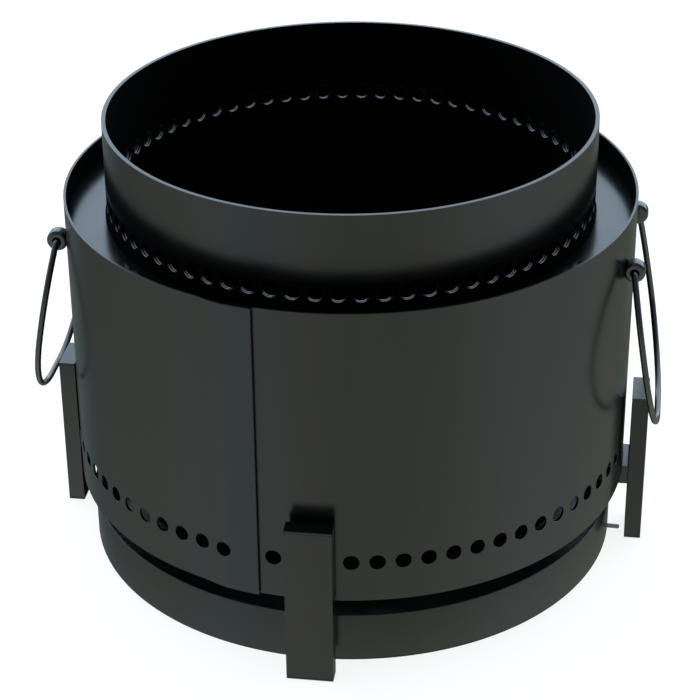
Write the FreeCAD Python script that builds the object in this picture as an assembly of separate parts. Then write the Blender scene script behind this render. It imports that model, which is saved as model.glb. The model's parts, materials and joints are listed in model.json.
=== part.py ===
import FreeCAD, Part
import math
import os

# Double-walled round fire stove on four legs, millimetres, +Z up.
# The origin is on the ground under the middle of the drum. The front leg stands at -Y.
# Bearings are degrees seen from above, from the front (-Y) towards the right (+X).

V = FreeCAD.Vector
UP = V(0, 0, 1)
NOWHERE = V(0, 0, 0)

# outer casing: rolled sheet with one lap seam
casingRadius = 317.5
casingSheet = 2.8
casingBottom = 86.8
casingRim = 430.3
seamBearing = -10.35
seamOverlap = 5.0
seamGap = 1.2
seamRise = 7.15
seamRunOut = 0.85
airHoleRadius = 8.7
airHoleRise = 48.2
airHoleCount = 72
airHolePhase = 2.5

# deck plate that closes the top of the space between the walls
deckDepth = 25.4
deckSheet = 2.5
deckFlange = 20.0
deckFit = 0.2
deckAirGap = 1.2
guideTabCount = 6
guideTabLength = 16.0
guideTabWidth = 22.0
guideTabSheet = 2.5
guideTabClearance = 0.6

# fire drum
drumRadius = 271.0
drumWall = 4.5
drumRise = 85.3
drumHoleRadius = 8.7
drumHoleDrop = 2.7
drumHoleCount = 72

# fire grate and the angle lugs that carry it
grateRise = 29.2
grateThickness = 4.0
grateClearance = 4.0
grateSlotRings = 5
grateSlotWidth = 9.0
grateFirstRing = 48.0
grateRingPitch = 44.0
grateSlotShare = 0.62
gratePitchAlong = 62.0
grateFingerRadius = 13.0
lugCount = 6
lugPhase = 30.0
lugWidth = 30.0
lugLeaf = 22.0
lugThickness = 3.0

# ash pan
panInset = 13.0
panHeight = 58.5
panWall = 2.0
panFloor = 2.0
tabBearing = 86.5
tabHeight = 9.6
tabThickness = 1.5
tabWidth = 7.5
tabReach = 14.5

# legs and the arms that carry the stove
legBearings = {"front": 0.0, "right": 90.0, "back": 180.0, "left": -90.0}
legWidth = 50.8
legDepth = 19.05
legTubeWall = 2.0
legCorner = 0.8
legStandOff = 7.0
legHeight = 188.2
legCap = 2.5
armShoulder = 10.7
armHeight = 23.5
armReach = 22.0

# swinging handles
handleBearings = {"right": 90.0, "left": -90.0}
rodRadius = 3.5
pivotStandOff = 0.5
pivotDrop = 55.2
bossSpread = 73.5
loopHalfWidth = 115.3
loopDrop = 206.2
loopBend = 96.0
rodCorner = 5.2
rodFaceGap = 1.0
rodLegGap = 6.5
bossRadius = 11.8
bossLength = 17.0
bossChamfer = 2.6
bossBore = 4.6
bossBoreDepth = 8.0
rodEndGap = 1.0
footRadius = 6.5
screwSetBack = 3.5
screwRadius = 3.0
screwGrip = 5.6
screwClearance = 0.3
headRadius = 5.25
headHeight = 3.3
socketAcross = 4.0
socketDepth = 2.0
washerRadius = 6.5
washerThickness = 1.6
washerClearance = 0.03
headChamfer = 1.15

# how far a hole cutter runs past the sheet on each side
cutterReach = 10.0

# derived places
casingInner = casingRadius - casingSheet
washerSeat = math.sqrt(casingInner ** 2 - washerRadius ** 2) - washerClearance
seamStep = casingSheet + seamGap
deckTop = casingRim - deckDepth
drumInner = drumRadius - drumWall
drumTop = casingRim + drumRise
drumBottom = casingBottom
drumHoleHeight = casingRim - drumHoleDrop
deckInner = drumRadius + deckAirGap
deckOuter = casingInner - deckFit
legInner = casingRadius + legStandOff
legOuter = legInner + legDepth
armInner = drumRadius - armReach
airHoleHeight = casingBottom + airHoleRise
grateRadius = drumInner - grateClearance
grateBottom = drumBottom + grateRise
panRadius = casingRadius - panInset
armTop = casingBottom + armShoulder
armBottom = armTop - armHeight
pivotHeight = casingRim - pivotDrop
pivotOffset = casingRadius + pivotStandOff
rodSpread = bossSpread + bossLength / 2.0 + rodRadius + rodFaceGap
screwSpread = bossSpread - screwSetBack
restTilt = math.degrees(math.asin((legOuter + rodRadius + rodLegGap - pivotOffset) / loopDrop))


def bearingPoint(bearing, radius, height=0.0):
    angle = math.radians(bearing)
    return V(radius * math.sin(angle), -radius * math.cos(angle), height)


def turned(shape, bearing):
    """Swing a piece that was made at the front (-Y) round to its bearing."""
    copy = shape.copy()
    copy.rotate(NOWHERE, UP, bearing)
    return copy


def disc(radius, bottom, height):
    return Part.makeCylinder(radius, height, V(0, 0, bottom))


def ring(outer, inner, bottom, height):
    return disc(outer, bottom, height).cut(disc(inner, bottom, height))


def block(x, y, z):
    """Box from three (low, high) pairs."""
    return Part.makeBox(x[1] - x[0], y[1] - y[0], z[1] - z[0], V(x[0], y[0], z[0]))


def radialHoles(bearings, radius, height, reach):
    """Round cutters that point outwards from the stove's middle."""
    near, far = reach
    cutters = []
    for bearing in bearings:
        start = bearingPoint(bearing, near, height)
        cutters.append(Part.makeCylinder(radius, far - near, start, bearingPoint(bearing, 1.0)))
    return Part.makeCompound(cutters)


def save(name, shapes):
    solids = [solid for shape in shapes for solid in shape.Solids]
    piece = solids[0] if len(solids) == 1 else Part.makeCompound(solids)
    piece.exportStep("parts/%s.step" % name)
    print("%-28s %d solid(s)  %.0f mm3" % (name, len(solids), piece.Volume))


def lapSheet():
    """The rolled casing sheet. Its outer end laps over its inner end at the seam."""
    innerEnd = seamBearing - seamOverlap
    riseEnd = innerEnd - seamRunOut
    riseStart = riseEnd - seamRise

    def sweep(radius, first, last):
        middle = (first + last) / 2.0
        return Part.Arc(bearingPoint(first, radius), bearingPoint(middle, radius),
                        bearingPoint(last, radius)).toShape()

    def rise(radius, steps=8):
        points = []
        for step in range(steps + 1):
            share = step / steps
            ease = share * share * (3.0 - 2.0 * share)
            points.append(bearingPoint(riseStart + share * seamRise, radius + ease * seamStep))
        curve = Part.BSplineCurve()
        curve.interpolate(points)
        return curve.toShape()

    def straight(bearing, first, last):
        return Part.makeLine(bearingPoint(bearing, first), bearingPoint(bearing, last))

    around = riseStart + 360.0
    halfWay = (innerEnd + around) / 2.0
    edges = [
        sweep(casingRadius, innerEnd, halfWay),
        sweep(casingRadius, halfWay, around),
        rise(casingRadius),
        sweep(casingRadius + seamStep, riseEnd, seamBearing),
        straight(seamBearing, casingRadius + seamStep, casingInner + seamStep),
        sweep(casingInner + seamStep, seamBearing, riseEnd),
        rise(casingInner),
        sweep(casingInner, around, halfWay),
        sweep(casingInner, halfWay, innerEnd),
        straight(innerEnd, casingInner, casingRadius),
    ]
    outline = Part.Wire(Part.sortEdges(edges)[0])
    sheet = Part.Face(outline).extrude(V(0, 0, casingRim - casingBottom))
    sheet.translate(V(0, 0, casingBottom))
    return sheet


def bossBearings():
    """Bearings of the four places where a handle boss is screwed to the casing."""
    swing = math.degrees(math.atan2(screwSpread, pivotOffset))
    return [middle + side * swing for middle in handleBearings.values() for side in (-1, 1)]


def outerCasing():
    pitch = 360.0 / airHoleCount
    innerEnd = seamBearing - seamOverlap
    bearings = []
    for index in range(airHoleCount):
        bearing = -180.0 + airHolePhase + index * pitch
        if not innerEnd < bearing < seamBearing:
            bearings.append(bearing)
    reach = (casingInner - cutterReach, casingRadius + seamStep + cutterReach)
    sheet = lapSheet().cut(radialHoles(bearings, airHoleRadius, airHoleHeight, reach))
    screwHoles = radialHoles(bossBearings(), screwRadius + screwClearance, pivotHeight, reach)
    return sheet.cut(screwHoles)


def topDeck():
    plate = ring(deckOuter, deckInner, deckTop - deckSheet, deckSheet)
    flange = ring(deckOuter, deckOuter - deckSheet, deckTop - deckFlange, deckFlange)
    return plate.fuse(flange).removeSplitter()


def guideTabs():
    """Small plates under the deck's inner edge that keep the drum central."""
    top = deckTop - deckSheet
    inner = drumRadius + guideTabClearance
    keep = disc(deckOuter, top - guideTabSheet, guideTabSheet)
    keep = keep.cut(disc(inner, top - guideTabSheet, guideTabSheet))
    half = guideTabWidth / 2.0
    reach = (-(inner + guideTabLength), -(inner - guideTabWidth))
    tab = block((-half, half), reach, (top - guideTabSheet, top)).common(keep)
    pitch = 360.0 / guideTabCount
    return [turned(tab, (index + 0.5) * pitch) for index in range(guideTabCount)]


def fireDrum():
    wall = ring(drumRadius, drumInner, drumBottom, drumTop - drumBottom)
    pitch = 360.0 / drumHoleCount
    bearings = [index * pitch for index in range(drumHoleCount)]
    reach = (drumInner - cutterReach, drumRadius + cutterReach)
    return wall.cut(radialHoles(bearings, drumHoleRadius, drumHoleHeight, reach))


def grateLugs():
    """Angle lugs welded inside the drum. The grate lies on their upper leaves."""
    top = grateBottom
    half = lugWidth / 2.0
    leaf = block((-half, half), (-drumInner, lugLeaf - drumInner), (top - lugThickness, top))
    # the leaf's chord leaves a thin gap to the round wall, which the back leaf follows
    back = block((-half, half), (-drumInner, 0), (top - lugLeaf, top))
    band = ring(drumInner, drumInner - lugThickness, top - lugLeaf, lugLeaf)
    lug = leaf.common(disc(drumInner, top - lugThickness, lugThickness)).fuse(back.common(band))
    lug = lug.removeSplitter()
    pitch = 360.0 / lugCount
    return [turned(lug, lugPhase + index * pitch) for index in range(lugCount)]


def arcSlot(radius, bearing, spread, width, bottom, height):
    """Slot along a circle with round ends, as a solid cutter."""
    half = spread / 2.0
    outer = radius + width / 2.0
    inner = radius - width / 2.0
    first = bearing - half
    last = bearing + half
    endSwing = math.degrees(width / 2.0 / radius)

    def at(angle, distance):
        return bearingPoint(angle, distance, bottom)

    edges = [
        Part.Arc(at(first, outer), at(bearing, outer), at(last, outer)).toShape(),
        Part.Arc(at(last, outer), at(last + endSwing, radius), at(last, inner)).toShape(),
        Part.Arc(at(last, inner), at(bearing, inner), at(first, inner)).toShape(),
        Part.Arc(at(first, inner), at(first - endSwing, radius), at(first, outer)).toShape(),
    ]
    return Part.Face(Part.Wire(edges)).extrude(V(0, 0, height))


def fireGrate():
    plate = disc(grateRadius, grateBottom, grateThickness)
    cutters = []
    for index in range(grateSlotRings):
        radius = grateFirstRing + index * grateRingPitch
        count = max(4, int(round(2.0 * math.pi * radius / gratePitchAlong)))
        pitch = 360.0 / count
        for slot in range(count):
            bearing = (slot + 0.5 * (index % 2)) * pitch
            cutters.append(arcSlot(radius, bearing, pitch * grateSlotShare, grateSlotWidth,
                                   grateBottom, grateThickness))
    cutters.append(disc(grateFingerRadius, grateBottom, grateThickness))
    return plate.cut(Part.makeCompound(cutters))


def panTab(bearing):
    half = tabWidth / 2.0
    reach = (-(panRadius + tabReach), -(panRadius - tabWidth))
    tab = block((-half, half), reach, (tabHeight, tabHeight + tabThickness))
    tab = tab.cut(disc(panRadius, 0, panHeight))
    corners = [edge for edge in tab.Edges
               if abs(edge.Vertexes[0].Point.y - edge.Vertexes[-1].Point.y) < 0.01
               and edge.BoundBox.ZLength > tabThickness / 2.0
               and edge.Vertexes[0].Point.y < -(panRadius + tabReach / 2.0)]
    return turned(tab.makeFillet(tabWidth / 4.0, corners), bearing)


def uprightEdges(shape):
    return [edge for edge in shape.Edges
            if edge.BoundBox.XLength < 0.01 and edge.BoundBox.YLength < 0.01]


def legSection(width, depth, bottom, height, corner):
    """Upright bar of the leg's section, at the front, with rounded corners."""
    middle = -(legInner + legDepth / 2.0)
    bar = block((-width / 2.0, width / 2.0), (middle - depth / 2.0, middle + depth / 2.0),
                (bottom, bottom + height))
    return bar.makeFillet(corner, uprightEdges(bar))


def legTube():
    height = legHeight - 2.0 * legCap
    outside = legSection(legWidth, legDepth, legCap, height, legCorner)
    inside = block((-legWidth / 2.0 + legTubeWall, legWidth / 2.0 - legTubeWall),
                   (-(legOuter - legTubeWall), -(legInner + legTubeWall)), (legCap, legCap + height))
    return outside.cut(inside)


def legArm():
    """Arm from the leg in under the casing. Casing and drum stand on its lower step."""
    half = legWidth / 2.0
    bar = block((-half, half), (-legInner, -armInner), (armBottom, armTop))
    step = disc(casingRadius, casingBottom, armTop - casingBottom)
    return bar.cut(step)


def handleRod():
    """One bent rod at the front of the stove, hanging straight down from its pivot line."""
    bottom = pivotHeight - loopDrop
    bendHeight = bottom + loopBend
    flare = loopHalfWidth - rodSpread
    sideDrop = pivotHeight - bendHeight - rodCorner
    # each side is one large arc, tangent to the bottom bend and to the corner at the boss
    cornerCircle = (flare * flare + sideDrop * sideDrop) / (2.0 * flare)
    lean = math.asin(sideDrop / cornerCircle)
    sideRadius = cornerCircle + rodCorner
    endX = bossSpread + bossLength / 2.0 - bossBoreDepth + rodEndGap

    def point(x, z):
        return V(x, -pivotOffset, z)

    def onArc(centre, radius, angle):
        return centre + V(math.cos(angle), 0, math.sin(angle)) * radius

    sideCentre = point(loopHalfWidth - sideRadius, bendHeight)
    bendCentre = point(loopHalfWidth - loopBend, bendHeight)
    cornerCentre = onArc(sideCentre, cornerCircle, lean)
    quarter = math.pi / 2.0

    def side(sign):
        def flip(vector):
            return V(sign * vector.x, vector.y, vector.z)

        def arc(centre, radius, first, last):
            points = [onArc(centre, radius, angle) for angle in (first, (first + last) / 2.0, last)]
            return Part.Arc(*[flip(place) for place in points]).toShape()

        return [
            Part.makeLine(flip(point(endX, pivotHeight)), flip(point(cornerCentre.x, pivotHeight))),
            arc(cornerCentre, rodCorner, quarter, lean),
            arc(sideCentre, sideRadius, lean, 0.0),
            arc(bendCentre, loopBend, 0.0, -quarter),
        ]

    base = Part.makeLine(point(-bendCentre.x, bottom), point(bendCentre.x, bottom))
    path = Part.Wire(Part.sortEdges(side(-1) + [base] + side(1))[0])
    section = Part.Wire(Part.makeCircle(rodRadius, point(-endX, pivotHeight), V(1, 0, 0)))
    rod = path.makePipeShell([section], True, False)
    print("rod: volume over section times length %.4f"
          % (rod.Volume / (math.pi * rodRadius ** 2 * path.Length)))
    return rod


def restingHandle(bearing):
    """The rod tilted out to where it hangs, clear of the leg below it."""
    rod = handleRod()
    rod.rotate(V(0, -pivotOffset, pivotHeight), V(1, 0, 0), -restTilt)
    return turned(rod, bearing)


def boss(side):
    """Turned boss whose bore takes a rod end. A short foot seats it on the casing."""
    start = V(bossSpread - bossLength / 2.0, -pivotOffset, pivotHeight)
    body = Part.makeCylinder(bossRadius, bossLength, start, V(1, 0, 0))
    rims = [edge for edge in body.Edges if edge.Closed]
    body = body.makeChamfer(bossChamfer, rims)
    outwards = V(screwSpread, -pivotOffset, 0)
    distance = outwards.Length
    outwards = outwards / distance
    footStart = outwards * casingInner + UP * pivotHeight
    foot = Part.makeCylinder(footRadius, distance - casingInner, footStart, outwards)
    piece = body.fuse(foot).cut(disc(casingRadius, 0, drumTop))
    boreStart = V(bossSpread + bossLength / 2.0 - bossBoreDepth, -pivotOffset, pivotHeight)
    piece = piece.cut(Part.makeCylinder(bossBore, bossBoreDepth + bossLength, boreStart, V(1, 0, 0)))
    grip = Part.makeCylinder(screwRadius, screwGrip + casingSheet, footStart, outwards)
    piece = piece.cut(grip).removeSplitter()
    if side < 0:
        piece = piece.mirror(NOWHERE, V(1, 0, 0))
    return piece


def bossScrew():
    """Button-head screw at the front, driven outwards from inside the casing."""
    seat = washerSeat - washerThickness
    middle = -(seat - headHeight / 2.0)
    head = Part.makeCylinder(headRadius, headHeight, V(0, -(seat - headHeight), pivotHeight), V(0, -1, 0))
    rim = [edge for edge in head.Edges if edge.Closed and edge.BoundBox.Center.y > middle]
    head = head.makeChamfer(headChamfer, rim)
    shank = Part.makeCylinder(screwRadius, washerThickness + casingSheet + screwGrip,
                              V(0, -seat, pivotHeight), V(0, -1, 0))
    across = socketAcross / math.sqrt(3.0)
    corners = [V(across * math.cos(math.radians(60 * k)), -(seat - headHeight),
                 pivotHeight + across * math.sin(math.radians(60 * k))) for k in range(7)]
    socket = Part.Face(Part.makePolygon(corners)).extrude(V(0, -socketDepth, 0))
    return head.fuse(shank).removeSplitter().cut(socket)


def bossWasher():
    start = V(0, -(washerSeat - washerThickness), pivotHeight)
    plate = Part.makeCylinder(washerRadius, washerThickness, start, V(0, -1, 0))
    bore = Part.makeCylinder(screwRadius + screwClearance, washerThickness, start, V(0, -1, 0))
    return plate.cut(bore)


def main():
    os.makedirs("parts", exist_ok=True)

    save("outer_casing", [outerCasing()])
    save("top_deck", [topDeck()])
    save("drum_guide_tabs", guideTabs())
    save("fire_drum", [fireDrum()])
    save("grate_lugs", grateLugs())
    save("fire_grate", [fireGrate()])

    save("ash_pan_wall", [ring(panRadius, panRadius - panWall, panFloor, panHeight - panFloor)])
    save("ash_pan_floor", [disc(panRadius, 0, panFloor)])
    save("ash_pan_tab_right", [panTab(tabBearing)])
    save("ash_pan_tab_left", [panTab(tabBearing - 180.0)])

    tube = legTube()
    arm = legArm()
    topCap = legSection(legWidth, legDepth, legHeight - legCap, legCap, legCorner)
    foot = legSection(legWidth, legDepth, 0, legCap, legCorner)
    for name, bearing in legBearings.items():
        save("leg_tube_" + name, [turned(tube, bearing)])
        save("leg_top_cap_" + name, [turned(topCap, bearing)])
        save("leg_foot_" + name, [turned(foot, bearing)])
        save("leg_arm_" + name, [turned(arm, bearing)])

    swing = math.degrees(math.atan2(screwSpread, pivotOffset))
    for name, bearing in handleBearings.items():
        save("handle_" + name, [restingHandle(bearing)])
        for side in (-1, 1):
            front = (side < 0) == (bearing > 0)
            place = "%s_%s" % (name, "front" if front else "back")
            save("handle_boss_" + place, [turned(boss(side), bearing)])
        places = [bearing - swing, bearing + swing]
        save("boss_screws_" + name, [turned(bossScrew(), place) for place in places])
        save("boss_washers_" + name, [turned(bossWasher(), place) for place in places])


main()
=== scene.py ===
import json
import math

import bmesh
import bpy
from mathutils import Matrix, Vector


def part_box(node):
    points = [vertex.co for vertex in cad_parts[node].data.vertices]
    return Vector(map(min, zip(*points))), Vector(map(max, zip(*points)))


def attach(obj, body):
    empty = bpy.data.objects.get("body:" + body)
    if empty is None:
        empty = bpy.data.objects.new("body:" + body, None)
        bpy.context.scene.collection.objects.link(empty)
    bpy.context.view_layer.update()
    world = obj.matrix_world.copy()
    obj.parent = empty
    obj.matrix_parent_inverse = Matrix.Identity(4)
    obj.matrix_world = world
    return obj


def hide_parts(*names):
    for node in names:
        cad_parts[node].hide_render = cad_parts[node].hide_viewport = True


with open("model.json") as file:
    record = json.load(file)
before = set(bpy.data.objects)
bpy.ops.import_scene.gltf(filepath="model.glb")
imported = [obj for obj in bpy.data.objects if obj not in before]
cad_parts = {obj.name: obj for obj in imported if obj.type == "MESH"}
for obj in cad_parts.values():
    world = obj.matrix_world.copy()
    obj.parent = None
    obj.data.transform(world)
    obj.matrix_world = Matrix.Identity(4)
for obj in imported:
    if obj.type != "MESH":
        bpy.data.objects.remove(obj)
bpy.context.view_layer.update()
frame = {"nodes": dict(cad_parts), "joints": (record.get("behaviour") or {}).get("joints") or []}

print("frame loaded:", len(frame["nodes"]), "nodes")


# ---- small helpers ---------------------------------------------------------------

# metres within which doubled points merge
mergeWithin = {
    "points": 1e-6,
    "cells": 2e-6,          # between the cells of a rolled sheet
    "cad": 1e-5,            # in copies of CAD meshes
}

# degrees past which an edge stays sharp
sharpAngles = {
    "usual": 32.0,
    "spun": 50.0,
    "boss": 28.0,
    "softened": 20.0,       # the rounding's own edges count, so that wide flat faces stay evenly shaded
}


def bearingPoint(bearing, radius, height=0.0):
    # bearings count in degrees from the front leg (-Y) towards the right handle (+X)
    angle = math.radians(bearing)
    return Vector((radius * math.sin(angle), -radius * math.cos(angle), height))


def newObject(name, mesh):
    piece = bpy.data.objects.new(name, mesh)
    bpy.context.scene.collection.objects.link(piece)
    return piece


def meshFrom(build, name):
    # runs build(bm) on an empty bmesh and returns the object made of it
    bm = bmesh.new()
    build(bm)
    bmesh.ops.remove_doubles(bm, verts=bm.verts, dist=mergeWithin["points"])
    bmesh.ops.recalc_face_normals(bm, faces=bm.faces)
    mesh = bpy.data.meshes.new(name)
    bm.to_mesh(mesh)
    bm.free()
    return newObject(name, mesh)


def smoothed(mesh, sharpAngle):
    # smooth shading, sharp only at real corners
    mesh.shade_smooth()
    mesh.set_sharp_from_angle(angle=math.radians(sharpAngle))


def bakeModifiers(piece, sharpAngle=sharpAngles["usual"]):
    # turns the evaluated piece into a plain mesh
    view = bpy.context.evaluated_depsgraph_get()
    mesh = bpy.data.meshes.new_from_object(piece.evaluated_get(view))
    old = piece.data
    piece.modifiers.clear()
    piece.data = mesh
    mesh.name = piece.name
    if old.users == 0:
        bpy.data.meshes.remove(old)
    smoothed(mesh, sharpAngle)
    return piece


def finishPiece(piece, material, body, slot, *nodes):
    # pieces made by a node tree already carry their materials
    if material:
        piece.data.materials.append(material)
    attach(piece, body)
    if nodes:
        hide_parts(*nodes)
    return piece


def cleaned(piece, fillEnds=False):
    # merges doubled points, closes open sheet ends and turns the faces outwards
    bm = bmesh.new()
    bm.from_mesh(piece.data)
    bmesh.ops.remove_doubles(bm, verts=bm.verts, dist=mergeWithin["points"])
    if fillEnds:
        openEdges = [e for e in bm.edges if len(e.link_faces) == 1]
        bmesh.ops.holes_fill(bm, edges=openEdges, sides=0)
    bmesh.ops.recalc_face_normals(bm, faces=bm.faces)
    bm.to_mesh(piece.data)
    bm.free()
    smoothed(piece.data, sharpAngles["usual"])
    return piece


# ---- material groups -------------------------------------------------------------

def groupTree(name, inputs, outputs):
    tree = bpy.data.node_groups.new(name, "ShaderNodeTree")
    for label, kind, default in inputs:
        socket = tree.interface.new_socket(label, in_out="INPUT", socket_type=kind)
        socket.default_value = default
    for label, kind in outputs:
        tree.interface.new_socket(label, in_out="OUTPUT", socket_type=kind)
    start = tree.nodes.new("NodeGroupInput")
    end = tree.nodes.new("NodeGroupOutput")
    return tree, start, end


def mathNode(tree, operation, first, second=None, clamp=False):
    made = tree.nodes.new("ShaderNodeMath")
    made.operation = operation
    made.use_clamp = clamp
    for index, value in enumerate((first, second)):
        if value is None:
            continue
        if isinstance(value, (int, float)):
            made.inputs[index].default_value = value
        else:
            tree.links.new(value, made.inputs[index])
    return made.outputs[0]


def mixColour(tree, factor, first, second):
    made = tree.nodes.new("ShaderNodeMix")
    made.data_type = "RGBA"
    for index, value in ((0, factor), (6, first), (7, second)):
        if hasattr(value, "is_linked"):
            tree.links.new(value, made.inputs[index])
        else:
            made.inputs[index].default_value = value
    return made.outputs[2]


def noise(tree, vector, scale, detail=3.0, roughness=0.5):
    made = tree.nodes.new("ShaderNodeTexNoise")
    if isinstance(scale, float):
        made.inputs["Scale"].default_value = scale
    else:
        tree.links.new(scale, made.inputs["Scale"])
    made.inputs["Detail"].default_value = detail
    made.inputs["Roughness"].default_value = roughness
    tree.links.new(vector, made.inputs["Vector"])
    return made.outputs["Fac"]


def ramp(tree, value, low, high):
    # soft step from 0 at low to 1 at high
    made = tree.nodes.new("ShaderNodeMapRange")
    made.interpolation_type = "SMOOTHSTEP"
    made.inputs["From Min"].default_value = low
    made.inputs["From Max"].default_value = high
    tree.links.new(value, made.inputs["Value"])
    return made.outputs["Result"]


# scales are noise scales per metre; ranges are the noise values between which a layer fades in
sprayLook = {
    "uprightStretch": (1.0, 1.0, 0.06),     # draws the bands of painted reflection out along the stove's height
    "wideBandScale": 5.0,
    "wideBandRange": (0.38, 0.62),
    "fineBandScale": 17.0,
    "fineBandRange": (0.40, 0.66),
    "greenTint": (0.75, 1.05, 0.88, 1),
    "redTint": (1.18, 0.94, 0.90, 1),
    "blueTint": (0.86, 1.0, 1.20, 1),
    "dustPatchScale": 11.0,
    "dustPatchRange": (0.52, 0.78),
    "dustSpeckScale": 420.0,
    "dustSpeckRange": (0.60, 0.72),
    "dustSpeckShare": 0.35,
    "dustColour": (0.10, 0.098, 0.094, 1),
    "dustRoughness": 0.5,                   # added where the dust is full
    "mottlingScale": 38.0,
    "mottlingRoughness": 0.10,              # spread of the roughness
    "grainScale": 900.0,
    "swellScale": 60.0,
    "swellShare": 1.5,                      # height of the swell against the grain
    "reliefDepth": 0.0004,
    "ior": 1.5,
}


def makePaintGroup():
    # sprayed heat-proof paint: fine texture and a little settled dust, with faint colour bands up the sheet that
    # are painted reflection of the surroundings
    tree, start, end = groupTree("sprayedPaint", [
        ("Base", "NodeSocketColor", (0.01, 0.01, 0.01, 1)),
        ("Band Tint", "NodeSocketFloat", 0.3),
        ("Roughness", "NodeSocketFloat", 0.3),
        ("Dust", "NodeSocketFloat", 0.1),
        ("Grain Size", "NodeSocketFloat", 1.0),
    ], [("Color", "NodeSocketColor"), ("Roughness", "NodeSocketFloat"), ("Height", "NodeSocketFloat")])
    look = sprayLook
    links = tree.links
    place = tree.nodes.new("ShaderNodeTexCoord").outputs["Object"]
    stretch = tree.nodes.new("ShaderNodeMapping")
    stretch.inputs["Scale"].default_value = look["uprightStretch"]
    links.new(place, stretch.inputs["Vector"])
    upright = stretch.outputs["Vector"]

    # painted reflection: colour bands that stand in for the surroundings reflected in the sheet
    wide = ramp(tree, noise(tree, upright, look["wideBandScale"], 2.0), *look["wideBandRange"])
    fine = ramp(tree, noise(tree, upright, look["fineBandScale"]), *look["fineBandRange"])
    reflectionBands = mixColour(tree, fine, mixColour(tree, wide, look["greenTint"], look["redTint"]), look["blueTint"])
    tint = mixColour(tree, start.outputs["Band Tint"], (1, 1, 1, 1), reflectionBands)
    tinted = tree.nodes.new("ShaderNodeMix")
    tinted.data_type = "RGBA"
    tinted.blend_type = "MULTIPLY"
    tinted.inputs[0].default_value = 1.0
    links.new(start.outputs["Base"], tinted.inputs[6])
    links.new(tint, tinted.inputs[7])

    patches = ramp(tree, noise(tree, place, look["dustPatchScale"], 5.0, 0.6), *look["dustPatchRange"])
    specks = ramp(tree, noise(tree, place, look["dustSpeckScale"], 2.0), *look["dustSpeckRange"])
    cover = mathNode(tree, "ADD", mathNode(tree, "MULTIPLY", specks, look["dustSpeckShare"]), patches)
    dust = mathNode(tree, "MULTIPLY", cover, start.outputs["Dust"], True)
    links.new(mixColour(tree, dust, tinted.outputs[2], look["dustColour"]), end.inputs["Color"])

    mottling = mathNode(tree, "SUBTRACT", noise(tree, place, look["mottlingScale"], 4.0, 0.6), 0.5)
    shift = mathNode(tree, "MULTIPLY", mottling, look["mottlingRoughness"])
    dull = mathNode(tree, "MULTIPLY", dust, look["dustRoughness"])
    rough = mathNode(tree, "ADD", mathNode(tree, "ADD", start.outputs["Roughness"], shift), dull)
    links.new(rough, end.inputs["Roughness"])

    grain = noise(tree, place, mathNode(tree, "DIVIDE", look["grainScale"], start.outputs["Grain Size"]), 2.0)
    swell = mathNode(tree, "MULTIPLY", noise(tree, place, look["swellScale"], 2.0), look["swellShare"])
    links.new(mathNode(tree, "ADD", grain, swell), end.inputs["Height"])
    return tree


paintGroup = makePaintGroup()


def newMaterial(name):
    material = bpy.data.materials.new(name)
    material.use_nodes = True
    return material, material.node_tree.nodes["Principled BSDF"]


def addRelief(tree, shader, height, strength, distance):
    relief = tree.nodes.new("ShaderNodeBump")
    relief.inputs["Strength"].default_value = strength
    relief.inputs["Distance"].default_value = distance
    tree.links.new(height, relief.inputs["Height"])
    tree.links.new(relief.outputs["Normal"], shader.inputs["Normal"])


def paint(name, base, roughness, reflectionBandTint=0.1, dust=0.01, grainSize=1.0, bump=0.05, specular=0.5):
    material, shader = newMaterial(name)
    tree = material.node_tree
    skin = tree.nodes.new("ShaderNodeGroup")
    skin.node_tree = paintGroup
    for label, value in (("Base", (*base, 1)), ("Band Tint", reflectionBandTint), ("Roughness", roughness),
                         ("Dust", dust), ("Grain Size", grainSize)):
        skin.inputs[label].default_value = value
    tree.links.new(skin.outputs["Color"], shader.inputs["Base Color"])
    tree.links.new(skin.outputs["Roughness"], shader.inputs["Roughness"])
    addRelief(tree, shader, skin.outputs["Height"], bump, sprayLook["reliefDepth"])
    shader.inputs["Specular IOR Level"].default_value = specular
    shader.inputs["IOR"].default_value = sprayLook["ior"]
    return material


steelLook = {
    "mottlingScale": 160.0,
    "mottlingRange": (0.35, 0.7),
    "darker": 0.72,         # share of the tint in the dark mottles
    "wearScale": 900.0,
    "wear": 0.3,            # spread of the roughness
    "markScale": 1400.0,
    "markStrength": 0.08,
    "markDepth": 0.0003,
}


def bareSteel(name, tint, roughness):
    # plated steel with fine marks and a mottled surface
    material, shader = newMaterial(name)
    tree, look = material.node_tree, steelLook
    place = tree.nodes.new("ShaderNodeTexCoord").outputs["Object"]
    mottling = ramp(tree, noise(tree, place, look["mottlingScale"], 4.0, 0.6), *look["mottlingRange"])
    dark = tuple(look["darker"] * part for part in tint)
    tree.links.new(mixColour(tree, mottling, (*tint, 1), (*dark, 1)), shader.inputs["Base Color"])
    wear = mathNode(tree, "MULTIPLY", noise(tree, place, look["wearScale"], 2.0), look["wear"])
    tree.links.new(mathNode(tree, "ADD", wear, roughness), shader.inputs["Roughness"])
    marks = noise(tree, place, look["markScale"], 2.0)
    addRelief(tree, shader, marks, look["markStrength"], look["markDepth"])
    shader.inputs["Metallic"].default_value = 1.0
    return material


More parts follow.
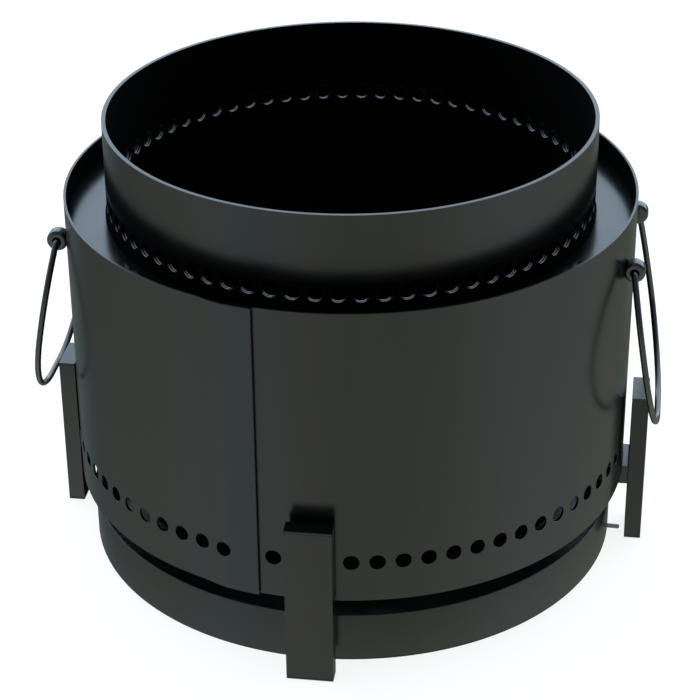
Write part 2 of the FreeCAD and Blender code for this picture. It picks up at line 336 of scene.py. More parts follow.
finishes = {
    "casing": paint("casingPaint", (0.0018, 0.0019, 0.0018), 0.23, reflectionBandTint=0.8),
    "drum": paint("drumPaint", (0.0014, 0.0015, 0.0014), 0.24, reflectionBandTint=0.7, dust=0.005),
    "deck": paint("deckPaint", (0.0012, 0.0013, 0.0014), 0.22),
    "leg": paint("legPaint", (0.0016, 0.0017, 0.0016), 0.24, reflectionBandTint=0.6),
    "pan": paint("panPaint", (0.0018, 0.0019, 0.0018), 0.25, reflectionBandTint=0.8, dust=0.015, specular=0.46),
    "handle": paint("handlePaint", (0.0014, 0.0015, 0.0014), 0.13, dust=0.02, grainSize=0.7, specular=0.75),
    # painted shade: a matte near-black with hardly any gloss, for the sheets' inner faces, the hole grooves and
    # faces that look into gaps, where the stove lies in shade
    "shadeMatte": paint("sootedFace", (0.0014, 0.0014, 0.0014), 0.85, dust=0.002, bump=0.12, specular=0.02),
    # painted light: the tab's pale grey stands in for the sky light that its top face catches; the dust on it is
    # its own
    "tab": paint("wornTab", (0.24, 0.24, 0.26), 0.45, dust=0.2, grainSize=0.8),
    "grate": paint("scaledSteel", (0.030, 0.027, 0.025), 0.55, reflectionBandTint=0.2, dust=0.30, grainSize=1.6,
                   bump=0.25),
    "fastener": bareSteel("zincPlate", (0.42, 0.42, 0.43), 0.28),
}
print("materials made:", len(finishes))


# ---- geometry node trees ---------------------------------------------------------------

def geometryTree(name, inputs):
    tree = bpy.data.node_groups.new(name, "GeometryNodeTree")
    for label, kind, default in [("Geometry", "NodeSocketGeometry", None)] + inputs:
        socket = tree.interface.new_socket(label, in_out="INPUT", socket_type=kind)
        if default is not None:
            socket.default_value = default
    tree.interface.new_socket("Geometry", in_out="OUTPUT", socket_type="NodeSocketGeometry")
    return tree, tree.nodes.new("NodeGroupInput"), tree.nodes.new("NodeGroupOutput")


def applyTree(piece, tree, values):
    # the modifier's inputs are set by identifier, then the result becomes a plain mesh
    modifier = piece.modifiers.new(tree.name, "NODES")
    modifier.node_group = tree
    for item in tree.interface.items_tree:
        if item.in_out == "INPUT" and item.name in values:
            modifier[item.identifier] = values[item.name]
    return bakeModifiers(piece)


def painted(tree, geometry, material, selection=None):
    made = tree.nodes.new("GeometryNodeSetMaterial")
    tree.links.new(geometry, made.inputs["Geometry"])
    tree.links.new(material, made.inputs["Material"])
    if selection:
        tree.links.new(selection, made.inputs["Selection"])
    return made.outputs["Geometry"]


def makeRingTree():
    # repeats one cell of a rolled sheet round the Z axis, next to the cells made one by one
    tree, start, end = geometryTree("ringOfCells", [
        ("Cell", "NodeSocketObject", None),
        ("Count", "NodeSocketInt", 72),
        ("First Bearing", "NodeSocketFloat", 0.0),
        ("Pitch", "NodeSocketFloat", 5.0),
        ("Merge Distance", "NodeSocketFloat", mergeWithin["cells"]),
        ("Paint", "NodeSocketMaterial", None),
        ("Soot", "NodeSocketMaterial", None),
    ])
    links = tree.links
    points = tree.nodes.new("GeometryNodePoints")
    links.new(start.outputs["Count"], points.inputs["Count"])
    index = tree.nodes.new("GeometryNodeInputIndex")
    along = mathNode(tree, "MULTIPLY", index.outputs[0], start.outputs["Pitch"])
    bearing = mathNode(tree, "ADD", along, start.outputs["First Bearing"])
    angles = tree.nodes.new("ShaderNodeCombineXYZ")
    links.new(mathNode(tree, "RADIANS", bearing), angles.inputs["Z"])
    turn = tree.nodes.new("FunctionNodeEulerToRotation")
    links.new(angles.outputs[0], turn.inputs[0])
    cell = tree.nodes.new("GeometryNodeObjectInfo")
    links.new(start.outputs["Cell"], cell.inputs["Object"])
    placed = tree.nodes.new("GeometryNodeInstanceOnPoints")
    links.new(points.outputs[0], placed.inputs["Points"])
    links.new(cell.outputs["Geometry"], placed.inputs["Instance"])
    links.new(turn.outputs[0], placed.inputs["Rotation"])
    joined = tree.nodes.new("GeometryNodeJoinGeometry")
    links.new(start.outputs["Geometry"], joined.inputs[0])
    links.new(placed.outputs[0], joined.inputs[0])
    real = tree.nodes.new("GeometryNodeRealizeInstances")
    links.new(joined.outputs[0], real.inputs[0])
    merged = tree.nodes.new("GeometryNodeMergeByDistance")
    links.new(real.outputs[0], merged.inputs["Geometry"])
    links.new(start.outputs["Merge Distance"], merged.inputs["Distance"])
    # faces flagged as painted shade take the matte painted-shade finish
    sooted = tree.nodes.new("GeometryNodeInputNamedAttribute")
    sooted.data_type = "BOOLEAN"
    sooted.inputs["Name"].default_value = "sooted"
    whole = painted(tree, merged.outputs[0], start.outputs["Paint"])
    both = painted(tree, whole, start.outputs["Soot"], sooted.outputs["Attribute"])
    links.new(both, end.inputs["Geometry"])
    return tree


def makeBarTree():
    # round bar that follows the piece's edges
    tree, start, end = geometryTree("roundBar", [
        ("Radius", "NodeSocketFloat", 0.0035),
        ("Sides", "NodeSocketInt", 24),
        ("Finish", "NodeSocketMaterial", None),
    ])
    links = tree.links
    path = tree.nodes.new("GeometryNodeMeshToCurve")
    links.new(start.outputs["Geometry"], path.inputs["Mesh"])
    circle = tree.nodes.new("GeometryNodeCurvePrimitiveCircle")
    links.new(start.outputs["Sides"], circle.inputs["Resolution"])
    links.new(start.outputs["Radius"], circle.inputs["Radius"])
    bar = tree.nodes.new("GeometryNodeCurveToMesh")
    bar.inputs["Fill Caps"].default_value = True
    links.new(path.outputs["Curve"], bar.inputs["Curve"])
    links.new(circle.outputs["Curve"], bar.inputs["Profile Curve"])
    real = tree.nodes.new("GeometryNodeRealizeInstances")
    links.new(bar.outputs["Mesh"], real.inputs[0])
    links.new(painted(tree, real.outputs[0], start.outputs["Finish"]), end.inputs["Geometry"])
    return tree


ringTree = makeRingTree()
barTree = makeBarTree()


# ---- rolled shells with rings of round holes ----------------------------------------

shellLook = {
    "cell": 5.0,             # degrees from hole to hole
    "strips": 6,             # strips across one cell
    "edge": 0.0003,          # rounding of rims and hole edges
    "midRing": 0.6,          # share of the way from a patch's border to its hole
}


def quad(bm, points, index):
    face = bm.faces.new([bm.verts.new(point) for point in points])
    face.material_index = index


def sweepStrip(bm, place, first, last, chain):
    # chain is a list of (depth into the wall, height, finish of the face up to the next point)
    columns = max(1, round(shellLook["strips"] * (last - first) / shellLook["cell"]))
    for column in range(columns):
        left = first + (last - first) * column / columns
        right = first + (last - first) * (column + 1) / columns
        for (depth, height, finish), (nextDepth, nextHeight, _) in zip(chain, chain[1:]):
            quad(bm, [place(left, height, depth), place(right, height, depth),
                      place(right, nextHeight, nextDepth), place(left, nextHeight, nextDepth)], finish)


def holedPatch(bm, place, first, last, low, high, radius, perDegree, through, outerFinish, innerFinish):
    # square patch on both faces of the sheet, joined by the walls of one round hole;
    # through is a list of (depth, widening, finish) down the hole
    side, mid = shellLook["strips"], shellLook["midRing"]
    middle, centre = (first + last) / 2.0, (low + high) / 2.0
    corners = [(first, low), (last, low), (last, high), (first, high)]
    border = []
    for start, end in zip(corners, corners[1:] + corners[:1]):
        for step in range(side):
            share = step / side
            border.append((start[0] + (end[0] - start[0]) * share, start[1] + (end[1] - start[1]) * share))

    def ring(share, depth, widening):
        # share 0 is the patch's border, 1 the hole's edge
        size = radius + widening
        points = []
        for bearing, height in border:
            angle = math.atan2(height - centre, (bearing - middle) * perDegree)
            edgeBearing = middle + size * math.cos(angle) / perDegree
            edgeHeight = centre + size * math.sin(angle)
            points.append(place(bearing + (edgeBearing - bearing) * share,
                                height + (edgeHeight - height) * share, depth))
        return points

    front, back = through[0], through[-1]
    rings = [(ring(share, front[0], front[1]), outerFinish) for share in (0.0, mid)]
    rings += [(ring(1.0, depth, widening), finish) for depth, widening, finish in through[:-1]]
    rings += [(ring(share, back[0], back[1]), innerFinish) for share in (1.0, mid, 0.0)]
    for (here, finish), (after, _) in zip(rings, rings[1:]):
        for index in range(len(here)):
            beside = (index + 1) % len(here)
            quad(bm, [here[index], here[beside], after[beside], after[index]], finish)


def rolledShell(name, radiusAt, borders, holed, heights, hole, wall, endCaps, finish):
    # borders are the bearings between cells, and the band of holes lies between a lower and an upper part;
    # heights gives the foot and rim, the finish (1 is the matte painted shade) of the outer face below and in the
    # band, and the bearing up to which the sheet lies under its own outer end, whose rim faces also take the
    # painted shade
    edge = shellLook["edge"]
    halfCell = shellLook["cell"] / 2.0
    plain = radiusAt(0.0)
    perDegree = math.radians(1.0) * plain
    bandLow, bandHigh = hole["height"] - halfCell * perDegree, hole["height"] + halfCell * perDegree
    foot, rim = heights["foot"], heights["rim"]
    below, band = heights["below"], heights["band"]
    # the inner face takes finish 1, painted shade on the sheet's inside; the outer face below the band takes the
    # below finish
    lower = [(wall, bandLow, 1), (wall, foot + edge, below), (wall - edge, foot, below), (edge, foot, below),
             (0, foot + edge, below), (0, bandLow, 0)]

    def place(bearing, height, depth):
        return bearingPoint(bearing, radiusAt(bearing) - depth, height)

    def cellPiece(label, cells):
        bm = bmesh.new()
        for first, last, hasHole in cells:
            # the rim of the inner end under the outer lap takes painted shade, a painted dark line in the seam's
            # gap
            covered = 1 if last <= heights["coveredTo"] else 0
            upper = [(0, bandHigh, 0), (0, rim - edge, covered), (edge, rim, covered),
                     (wall - edge, rim, covered), (wall, rim - edge, 1), (wall, bandHigh, 0)]
            sweepStrip(bm, place, first, last, lower)
            sweepStrip(bm, place, first, last, upper)
            if hasHole:
                holedPatch(bm, place, first, last, bandLow, bandHigh, hole["radius"], perDegree,
                           hole["through"], band, 1)
                continue
            rows = shellLook["strips"]
            levels = [bandLow + (bandHigh - bandLow) * row / rows for row in range(rows + 1)]
            sweepStrip(bm, place, first, last, [(0, level, band) for level in levels])
            sweepStrip(bm, place, first, last, [(wall, level, 1) for level in levels])
        bmesh.ops.remove_doubles(bm, verts=bm.verts, dist=mergeWithin["cells"])
        mesh = bpy.data.meshes.new(label)
        bm.to_mesh(mesh)
        bm.free()
        # faces with finish 1 are flagged for the matte painted shade
        sooted = mesh.attributes.new("sooted", "BOOLEAN", "FACE")
        sooted.data.foreach_set("value", [face.material_index == 1 for face in mesh.polygons])
        return newObject(label, mesh)

    cells = list(zip(borders, borders[1:], holed))
    alike = [c for c in cells if c[2] and radiusAt(c[0]) == radiusAt(c[1]) == plain]
    cell = cellPiece(name + "Cell", [(-halfCell, halfCell, True)])
    shell = cellPiece(name, [c for c in cells if c not in alike])
    applyTree(shell, ringTree, {
        "Cell": cell,
        "Count": len(alike),
        "First Bearing": alike[0][0] + halfCell,
        "Pitch": shellLook["cell"],
        "Paint": finish,
        "Soot": finishes["shadeMatte"],
    })
    bpy.data.objects.remove(cell)
    return cleaned(shell, endCaps)


casingSizes = {
    "sheet": 0.0028,
    "deckGap": 0.0002,         # between the sheet and the deck set down inside it
    "seamBearing": -10.35,     # where the outer end lies
    "overlap": 5.0,            # degrees that the inner end runs on under it
    "lapGap": 0.0012,
    "rise": 7.15,              # degrees over which the sheet steps out before the lap
    "runOut": 0.85,            # and degrees between that step and the inner end
    "wholeCells": (-2, 69),    # first and last border between whole cells, counted from the front leg
    "holeRadius": 0.0087,
    "holeAboveEdge": 0.0482,
}
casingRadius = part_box("top_deck")[1].y + casingSizes["deckGap"] + casingSizes["sheet"]


def makeCasing():
    low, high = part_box("outer_casing")
    sizes, sheet, edge = casingSizes, casingSizes["sheet"], shellLook["edge"]
    innerEnd = sizes["seamBearing"] - sizes["overlap"]
    outerEnd = sizes["seamBearing"] + 360.0
    riseStart = innerEnd - sizes["runOut"] - sizes["rise"] + 360.0
    step = sheet + sizes["lapGap"]

    def radiusAt(bearing):
        share = min(max((bearing - riseStart) / sizes["rise"], 0.0), 1.0)
        return casingRadius + step * share * share * (3.0 - 2.0 * share)

    firstBorder, lastBorder = sizes["wholeCells"]
    whole = [shellLook["cell"] * k for k in range(firstBorder, lastBorder + 1)]
    borders = [innerEnd] + whole + [outerEnd]
    holed = [False] + [True] * (len(whole) - 1) + [False]
    hole = {
        "height": low.z + sizes["holeAboveEdge"],
        "radius": sizes["holeRadius"],
        "through": [(0, edge, 0), (edge, 0, 0), (sheet - edge, 0, 0), (sheet, edge, 0)],
    }
    heights = {"foot": low.z, "rim": high.z, "below": 0, "band": 0, "coveredTo": borders[1]}
    shell = rolledShell("casingShell", radiusAt, borders, holed, heights, hole, sheet, True, finishes["casing"])
    return finishPiece(shell, None, "stove", "casing_paint", "outer_casing")


drumSizes = {
    "wall": 0.0045,
    "holes": 72,
    "holeRadius": 0.0087,
    "holeBelowCasingRim": 0.0027,
    "groove": 0.0008,          # depth of the groove half-way through each punched hole; its faces take the matte finish, a painted dark line of shade
    "grooveStart": (0.34, 0.38),    # shares of the wall where it opens
    "grooveEnd": (0.62, 0.66),      # and closes
}


def makeDrum():
    low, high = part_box("fire_drum")
    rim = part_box("outer_casing")[1].z
    sizes, wall, edge = drumSizes, drumSizes["wall"], shellLook["edge"]
    groove = sizes["groove"]
    opens, full = sizes["grooveStart"]
    ebbs, closed = sizes["grooveEnd"]

    def radiusAt(bearing):
        return high.y

    borders = [shellLook["cell"] * (k - 0.5) for k in range(sizes["holes"] + 1)]
    holed = [True] * sizes["holes"]
    hole = {
        "height": rim - sizes["holeBelowCasingRim"],
        "radius": sizes["holeRadius"],
        # the groove's faces take finish 1, the matte painted shade
        "through": [(0, edge, 0), (edge, 0, 0), (wall * opens, 0, 1), (wall * full, groove, 1),
                    (wall * ebbs, groove, 1), (wall * closed, 0, 0), (wall - edge, 0, 0), (wall, edge, 0)],
    }
    # painted shade: the drum's outer face below and in the band of holes takes the matte finish, so that it and
    # the view through the holes stay dark
    heights = {"foot": low.z, "rim": high.z, "below": 1, "band": 1, "coveredTo": -360.0}
    shell = rolledShell("drumShell", radiusAt, borders, holed, heights, hole, wall, False, finishes["drum"])
    return finishPiece(shell, None, "fire_drum", "drum_paint", "fire_drum")


casing = makeCasing()
drum = makeDrum()
print("shells made:", len(casing.data.polygons), len(drum.data.polygons))


# ---- turned and pressed rings ---------------------------------------------------------

spinLook = {
    "segments": 288,
    "cornerSteps": 4,
}


def roundedProfile(corners):
    # closed outline from (radius, height, rounding) corners
    points = [Vector(corner[:2]) for corner in corners]
    steps = spinLook["cornerSteps"]
    result = []
    for index, here in enumerate(points):
        cut = corners[index][2]
        if cut <= 0.0:
            result.append(tuple(here))
            continue
        start = here + (points[index - 1] - here).normalized() * cut
        end = here + (points[(index + 1) % len(points)] - here).normalized() * cut
        for step in range(steps + 1):
            t = step / steps
            result.append(tuple((1 - t) ** 2 * start + 2 * t * (1 - t) * here + t * t * end))
    return result


def spun(name, profile, capped=False):
    # sweeps a (radius, height) outline round the Z axis, either closed in itself or with flat middles
    segments = spinLook["segments"]
    count = len(profile)

    def build(bm):
        rings = [[bm.verts.new(bearingPoint(360.0 * s / segments, r, z)) for r, z in profile]
                 for s in range(segments)]
        for here, beside in zip(rings, rings[1:] + rings[:1]):
            for k in range(count - 1 if capped else count):
                after = (k + 1) % count
                bm.faces.new((here[k], beside[k], beside[after], here[after]))
        if capped:
            for k in (0, count - 1):
                bm.faces.new([ring[k] for ring in rings])

    return bakeModifiers(meshFrom(build, name), sharpAngles["spun"])


deckSizes = {
    "sheet": 0.0025,
    "drumGap": 0.0012,
    "corner": 0.0006,
    "fold": 0.001,             # inside of the turned-down edge
    "outerCorner": 0.0012,
}


def makeDeck():
    low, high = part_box("top_deck")
    sizes, corner = deckSizes, deckSizes["corner"]
    inner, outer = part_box("fire_drum")[1].y + sizes["drumGap"], high.y
    under, within = high.z - sizes["sheet"], outer - sizes["sheet"]
    profile = roundedProfile([
        (inner, high.z, corner),
        (inner, under, corner),
        (within, under, sizes["fold"]),
        (within, low.z, corner),
        (outer, low.z, corner),
        (outer, high.z, sizes["outerCorner"]),
    ])
    return finishPiece(spun("deckPlate", profile), finishes["deck"], "stove", "deck_paint", "top_deck")


panSizes = {
    "wall": 0.002,
    "footCorner": 0.0003,
    "rimCorner": 0.0008,
    "floorCorner": 0.0005,
    "floorFootCorner": 0.0008,
    "floorMiddle": 0.02,       # radius of the flat middle faces
}


def makePanWall():
    low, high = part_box("ash_pan_wall")
    sizes = panSizes
    inner, outer = high.y - sizes["wall"], high.y
    profile = roundedProfile([
        (inner, low.z, sizes["footCorner"]),
        (outer, low.z, sizes["footCorner"]),
        (outer, high.z, sizes["rimCorner"]),
        (inner, high.z, sizes["rimCorner"]),
    ])
    return finishPiece(spun("panWall", profile), finishes["pan"], "ash_pan", "pan_paint", "ash_pan_wall")


def makePanFloor():
    low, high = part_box("ash_pan_floor")
    sizes = panSizes
    profile = roundedProfile([
        (sizes["floorMiddle"], high.z, 0.0),
        (high.y, high.z, sizes["floorCorner"]),
        (high.y, low.z, sizes["floorFootCorner"]),
        (sizes["floorMiddle"], low.z, 0.0),
    ])
    floor = spun("panFloor", profile, capped=True)
    return finishPiece(floor, finishes["pan"], "ash_pan", "pan_paint", "ash_pan_floor")


makeDeck()
makePanWall()
makePanFloor()
print("deck and pan made")


# ---- pieces that keep the CAD outline and get rounded edges -----------------------------

softLook = {
    "segments": 2,
    "cornerAngle": 30.0,       # edges sharper than this are rounded
    "flatAngle": 1.0,          # faces closer than this are one flat face
    "inwards": -0.8,           # cosine against the outward direction, below which a face looks inwards
    # rounding of each piece's edges
    "legTube": 0.0004,
    "legTopCap": 0.0005,
    "legFoot": 0.0005,
    "legArm": 0.0006,
    "panTab": 0.0003,
    "guideTabs": 0.0004,
    "grateLugs": 0.0004,
    "grate": 0.0004,
    "bossScrews": 0.0002,
    "bossWashers": 0.0002,
}


def shadeInwards(piece):
    # painted shade: upright faces that look at the stove's axis take the matte second finish, so that they and
    # their reflection in the casing stay dark
    for face in piece.data.polygons:
        centre = face.center
        outwards = face.normal.x * centre.x + face.normal.y * centre.y
        if outwards < softLook["inwards"] * math.hypot(centre.x, centre.y):
            face.material_index = 1
    piece.data.materials.append(finishes["shadeMatte"])


def bevelled(piece, width):
    bevel = piece.modifiers.new("edgeRounding", "BEVEL")
    bevel.width = width
    bevel.segments = softLook["segments"]
    bevel.limit_method = "ANGLE"
    bevel.angle_limit = math.radians(softLook["cornerAngle"])
    bevel.harden_normals = False
    bevel.use_clamp_overlap = True


def softened(name, cadNode, finish, body, slot):
    # a merged copy of the CAD mesh with small rounded edges
    mesh = frame["nodes"][cadNode].data.copy()
    bm = bmesh.new()
    bm.from_mesh(mesh)
    bmesh.ops.remove_doubles(bm, verts=bm.verts, dist=mergeWithin["cad"])
    flat = math.radians(softLook["flatAngle"])
    bmesh.ops.dissolve_limit(bm, angle_limit=flat, verts=bm.verts, edges=bm.edges)
    bmesh.ops.recalc_face_normals(bm, faces=bm.faces)
    mesh.materials.clear()
    bm.to_mesh(mesh)
    bm.free()
    for key in [a.name for a in mesh.attributes if a.name.startswith("custom_normal")]:
        mesh.attributes.remove(mesh.attributes[key])
    piece = newObject(name, mesh)
    bevelled(piece, softLook[name.split("_")[0]])
    bakeModifiers(piece, sharpAngles["softened"])
    return finishPiece(piece, finishes[finish], body, slot, cadNode)


for side in ("front", "right", "back", "left"):
    tube = softened("legTube_" + side, "leg_tube_" + side, "leg", "stove", "leg_paint")
    shadeInwards(tube)
    softened("legTopCap_" + side, "leg_top_cap_" + side, "leg", "stove", "leg_paint")
    softened("legFoot_" + side, "leg_foot_" + side, "leg", "stove", "leg_paint")
    softened("legArm_" + side, "leg_arm_" + side, "leg", "stove", "leg_paint")
for side in ("right", "left"):
    softened("panTab_" + side, "ash_pan_tab_" + side, "tab", "ash_pan", "pan_paint")
softened("guideTabs", "drum_guide_tabs", "deck", "stove", "deck_paint")
softened("grateLugs", "grate_lugs", "drum", "fire_drum", "drum_paint")
softened("grate", "fire_grate", "grate", "fire_grate", "grate_steel")
for side in ("right", "left"):
    softened("bossScrews_" + side, "boss_screws_" + side, "fastener", "stove", "fastener_steel")
    softened("bossWashers_" + side, "boss_washers_" + side, "fastener", "stove", "fastener_steel")
print("legs, tabs, lugs, grate and fasteners made")


# ---- handles and bosses -------------------------------------------------------------------

rodSizes = {
    "radius": 0.0035,
    "halfWidth": 0.1153,
    "topHalfWidth": 0.0865,
    "drop": 0.2062,            # from the pivot line to the lowest point
    "bend": 0.096,             # radius of the lower bend
    "corner": 0.0052,          # radius of the bend at the boss
    "endHalf": 0.0750,         # from the middle to the rod's end inside the boss
    "bendSteps": 26,
    "sideSteps": 16,
    "cornerSteps": 8,
}


def pivotOf(name):
    for joint in frame["joints"]:
        if joint["child"] == name:
            return Vector(joint["pos_m"])
    raise ValueError(name)


def arcPoints(centre, radius, first, last, count):
    angles = [first + (last - first) * k / count for k in range(count + 1)]
    return [(centre[0] + radius * math.cos(a), centre[1] + radius * math.sin(a)) for a in angles]


def rodPath():
    # middle line of the bent rod from its lowest point to one end, as (across, up) from the pivot line
    s = rodSizes
    bendHeight = s["bend"] - s["drop"]
    flare = s["halfWidth"] - s["topHalfWidth"]
    sideDrop = -bendHeight - s["corner"]
    circle = (flare * flare + sideDrop * sideDrop) / (2.0 * flare)
    lean = math.asin(sideDrop / circle)
    sideRadius = circle + s["corner"]
    sideCentre = (s["halfWidth"] - sideRadius, bendHeight)
    bendCentre = (s["halfWidth"] - s["bend"], bendHeight)
    cornerCentre = (sideCentre[0] + circle * math.cos(lean), sideCentre[1] + circle * math.sin(lean))
    quarter = math.pi / 2.0
    points = [(0.0, -s["drop"])]
    points += arcPoints(bendCentre, s["bend"], -quarter, 0.0, s["bendSteps"])
    points += arcPoints(sideCentre, sideRadius, 0.0, lean, s["sideSteps"])[1:]
    points += arcPoints(cornerCentre, s["corner"], lean, quarter, s["cornerSteps"])[1:]
    points.append((s["endHalf"], 0.0))
    return points


def makeHandle(side):
    cadNode = "handle_" + side
    pivot = pivotOf(cadNode)
    sign = 1.0 if pivot.x > 0 else -1.0
    low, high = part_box(cadNode)
    # the rod hangs a little outwards, as far as the CAD rod's box says
    reach = max(abs(low.x), abs(high.x)) - abs(pivot.x) - rodSizes["radius"]
    tilt = math.asin(reach / rodSizes["drop"])
    half = rodPath()
    outline = [(-across, up) for across, up in half[::-1]] + half[1:]
    points = [Vector((pivot.x - sign * up * math.sin(tilt), across, pivot.z + up * math.cos(tilt)))
              for across, up in outline]

    path = bpy.data.meshes.new("handleRod_" + side)
    path.from_pydata(points, [(k, k + 1) for k in range(len(points) - 1)], [])
    rod = newObject(path.name, path)
    applyTree(rod, barTree, {"Radius": rodSizes["radius"], "Finish": finishes["handle"]})
    return finishPiece(cleaned(rod), None, cadNode, "handle_paint", cadNode)


bossSizes = {
    "radius": 0.0118,
    "length": 0.017,
    "chamfer": 0.0026,
    "soft": 0.0005,            # rounding on both sides of the chamfer
    "bore": 0.0046,
    "boreEdge": 0.0006,
    "boreDepth": 0.008,
    "spread": 0.0735,          # from the handle's middle to the boss's middle
    "footSpread": 0.0700,
    "foot": 0.0062,
    "footTaper": 0.98,
    "footSink": 0.0002,        # how far the foot stands in the casing
    "footShort": 0.001,        # how far it ends before the bore
    "sides": 48,
    "footSides": 32,
}


def lathe(bm, profile, origin, axis, sides):
    # closed body turned about axis; profile is (distance along, radius), first and last on the axis
    across = axis.orthogonal().normalized()
    other = axis.cross(across)
    angles = [2.0 * math.pi * k / sides for k in range(sides)]
    loops = []
    for along, radius in profile:
        centre = origin + axis * along
        if radius == 0:
            loops.append([bm.verts.new(centre)])
            continue
        loops.append([bm.verts.new(centre + (across * math.cos(a) + other * math.sin(a)) * radius)
                      for a in angles])
    for here, after in zip(loops, loops[1:]):
        for k in range(sides):
            beside = (k + 1) % sides
            if len(here) == 1:
                bm.faces.new((here[0], after[beside], after[k]))
            elif len(after) == 1:
                bm.faces.new((here[k], here[beside], after[0]))
            else:
                bm.faces.new((here[k], here[beside], after[beside], after[k]))


def makeBoss(side, end):
    cadNode = "handle_boss_%s_%s" % (side, end)
    pivot = pivotOf("handle_" + side)
    low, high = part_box(cadNode)
    outwardY = 1.0 if (low.y + high.y) > 0 else -1.0
    s = bossSizes
    r, length, c, soft = s["radius"], s["length"], s["chamfer"], s["soft"]
    bore, boreEdge, boreEnd = s["bore"], s["boreEdge"], s["length"] - s["boreDepth"]
    # the chamfer's two edges are rounded by one more point on each side
    barrel = [(0, 0), (0, r - c - soft), (soft * 0.4, r - c), (c - soft * 0.6, r - soft * 0.3), (c + soft, r),
              (length - c - soft, r), (length - c + soft * 0.6, r - soft * 0.3), (length - soft * 0.4, r - c),
              (length, r - c - soft), (length, bore + boreEdge), (length - boreEdge, bore),
              (boreEnd, bore), (boreEnd, 0)]
    across = Vector((pivot.x, outwardY * s["footSpread"], 0))
    outwards = across.normalized()
    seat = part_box("outer_casing")[1].y - s["footSink"]
    reach = across.length - seat - bore - s["footShort"]
    foot = [(0, 0), (0, s["foot"]), (reach, s["foot"] * s["footTaper"]), (reach, 0)]

    def build(bm):
        start = Vector((pivot.x, outwardY * (s["spread"] - length / 2.0), pivot.z))
        lathe(bm, barrel, start, Vector((0, outwardY, 0)), s["sides"])
        lathe(bm, foot, outwards * seat + Vector((0, 0, pivot.z)), outwards, s["footSides"])

    boss = bakeModifiers(meshFrom(build, "handleBoss_%s_%s" % (side, end)), sharpAngles["boss"])
    return finishPiece(boss, finishes["handle"], "stove", "handle_paint", cadNode)


for side in ("right", "left"):
    makeHandle(side)
    for end in ("front", "back"):
        makeBoss(side, end)
print("handles and bosses made")


# ---- floor, light and camera ------------------------------------------------------------------

studio = {
    "floorHalf": 40.0,
    "floorColour": (0.24, 0.22, 0.20, 1),
    "floorRoughness": 0.9,
    "floorSpecular": 0.1,
    "floorLift": 0.86,      # light that the floor gives off itself
    "frontBearing": 14.0,   # the world's front; the ranges below are cosines against it
    "skyColour": (0.74, 0.93, 1.12, 1),
    "skyBack": 2.2,
    "skyFront": 0.35,
    "skyRange": (-0.5, 0.6),
    "fillBack": 0.18,       # card light from below the horizon behind the stove
    "fillFront": 0.86,      # and in front of it
    "fillRange": (-0.65, 0.32),
    "fillDip": 0.15,        # a little less straight in front
    "dipRange": (0.62, 0.88),
    "horizon": (-0.06, 0.02),
    "cardsRange": (-0.875, 0.875),
    # soft colours of the cards, from the left side to the right
    "cards": ((0.0, (0.97, 1.08, 0.95)), (0.12, (0.87, 1.09, 1.08)), (0.22, (0.87, 1.08, 1.08)),
              (0.30, (0.99, 1.11, 1.03)), (0.40, (1.14, 1.16, 1.09)), (0.50, (1.01, 1.09, 0.95)),
              (0.62, (0.92, 1.17, 0.89)), (0.76, (0.97, 1.11, 0.91)), (0.85, (1.04, 1.05, 0.93)),
              (0.93, (0.97, 1.08, 0.98)), (1.0, (0.93, 1.06, 1.04))),
    "cameraLens": 113.74,
    "cameraSensor": 36.0,
    "cameraClip": (0.05, 200.0),
    "cameraAzimuth": 7.95,  # degrees round the stove from the front leg
    "cameraPitch": 28.89,   # degrees below the horizon
    "cameraYaw": 0.06,      # degrees past the stove's axis
    "cameraRoll": -0.0075,  # radians
    "cameraOut": 7.056,     # in casing radii, from the casing's axis
    "cameraUp": 3.2156,     # in casing radii, above the casing's rim
}


def makeFloor():
    size = studio["floorHalf"]
    mesh = bpy.data.meshes.new("floor")
    corners = [(-size, -size, 0), (size, -size, 0), (size, size, 0), (-size, size, 0)]
    mesh.from_pydata(corners, [], [(0, 1, 2, 3)])
    floor = newObject("floor", mesh)
    material, shader = newMaterial("floorPaper")
    shader.inputs["Base Color"].default_value = studio["floorColour"]
    shader.inputs["Roughness"].default_value = studio["floorRoughness"]
    shader.inputs["Specular IOR Level"].default_value = studio["floorSpecular"]
    shader.inputs["Emission Color"].default_value = (1, 1, 1, 1)
    shader.inputs["Emission Strength"].default_value = studio["floorLift"]
    mesh.materials.append(material)
    # the gloss shows the cards below the horizon instead of the white floor
    floor.visible_glossy = False


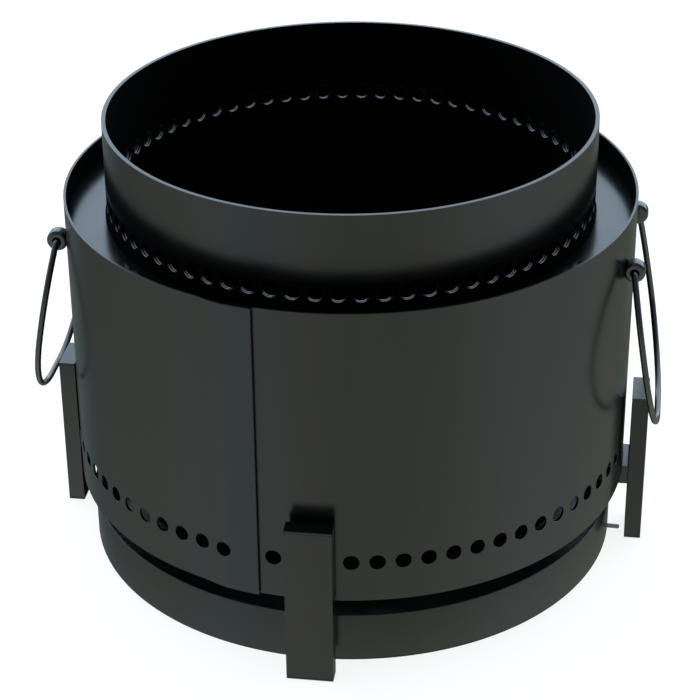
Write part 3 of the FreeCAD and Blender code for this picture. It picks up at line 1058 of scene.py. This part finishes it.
def makeWorld():
    world = bpy.data.worlds.new("studioWorld")
    bpy.context.scene.world = world
    world.use_nodes = True
    tree = world.node_tree
    links = tree.links
    background = tree.nodes["Background"]
    direction = tree.nodes.new("ShaderNodeTexCoord").outputs["Generated"]
    split = tree.nodes.new("ShaderNodeSeparateXYZ")
    links.new(direction, split.inputs[0])
    front = tree.nodes.new("ShaderNodeVectorMath")
    front.operation = "DOT_PRODUCT"
    front.inputs[1].default_value = bearingPoint(studio["frontBearing"], 1.0)
    links.new(direction, front.inputs[0])
    frontness = front.outputs["Value"]

    def mapped(value, span, atLow, atHigh, smooth="LINEAR"):
        made = tree.nodes.new("ShaderNodeMapRange")
        made.interpolation_type = smooth
        for label, number in (("From Min", span[0]), ("From Max", span[1]), ("To Min", atLow), ("To Max", atHigh)):
            made.inputs[label].default_value = number
        links.new(value, made.inputs["Value"])
        return made.outputs["Result"]

    fill = mapped(frontness, studio["fillRange"], studio["fillBack"], studio["fillFront"])
    dip = mapped(frontness, studio["dipRange"], 0.0, studio["fillDip"], "SMOOTHSTEP")
    sky = mapped(frontness, studio["skyRange"], studio["skyBack"], studio["skyFront"], "SMOOTHSTEP")
    upper = ramp(tree, split.outputs["Z"], *studio["horizon"])
    level = tree.nodes.new("ShaderNodeMix")
    links.new(upper, level.inputs[0])
    links.new(mathNode(tree, "SUBTRACT", fill, dip), level.inputs[2])
    links.new(sky, level.inputs[3])
    links.new(level.outputs[0], background.inputs["Strength"])

    cards = tree.nodes.new("ShaderNodeValToRGB")
    cards.color_ramp.interpolation = "EASE"
    stops = cards.color_ramp.elements
    while len(stops) < len(studio["cards"]):
        stops.new(0.5)
    for stop, (position, colour) in zip(stops, studio["cards"]):
        stop.position = position
        stop.color = (*colour, 1)
    links.new(mapped(split.outputs["X"], studio["cardsRange"], 0.0, 1.0), cards.inputs["Fac"])
    colour = mixColour(tree, upper, cards.outputs["Color"], studio["skyColour"])
    links.new(colour, background.inputs["Color"])


def makeCamera():
    camera = newObject("camera", bpy.data.cameras.new("camera"))
    camera.data.lens = studio["cameraLens"]
    camera.data.sensor_width = studio["cameraSensor"]
    camera.data.clip_start, camera.data.clip_end = studio["cameraClip"]
    azimuth = math.radians(studio["cameraAzimuth"])
    out = studio["cameraOut"] * casingRadius
    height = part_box("outer_casing")[1].z + studio["cameraUp"] * casingRadius
    location = Vector((out * math.sin(azimuth), -out * math.cos(azimuth), height))
    turn = (Matrix.Rotation(azimuth + math.radians(studio["cameraYaw"]), 4, "Z")
            @ Matrix.Rotation(math.radians(90.0 - studio["cameraPitch"]), 4, "X")
            @ Matrix.Rotation(studio["cameraRoll"], 4, "Z"))
    camera.matrix_world = Matrix.Translation(location) @ turn
    bpy.context.scene.camera = camera
    bpy.context.scene.view_settings.view_transform = "Standard"


makeFloor()
makeWorld()
makeCamera()
print("studio made")
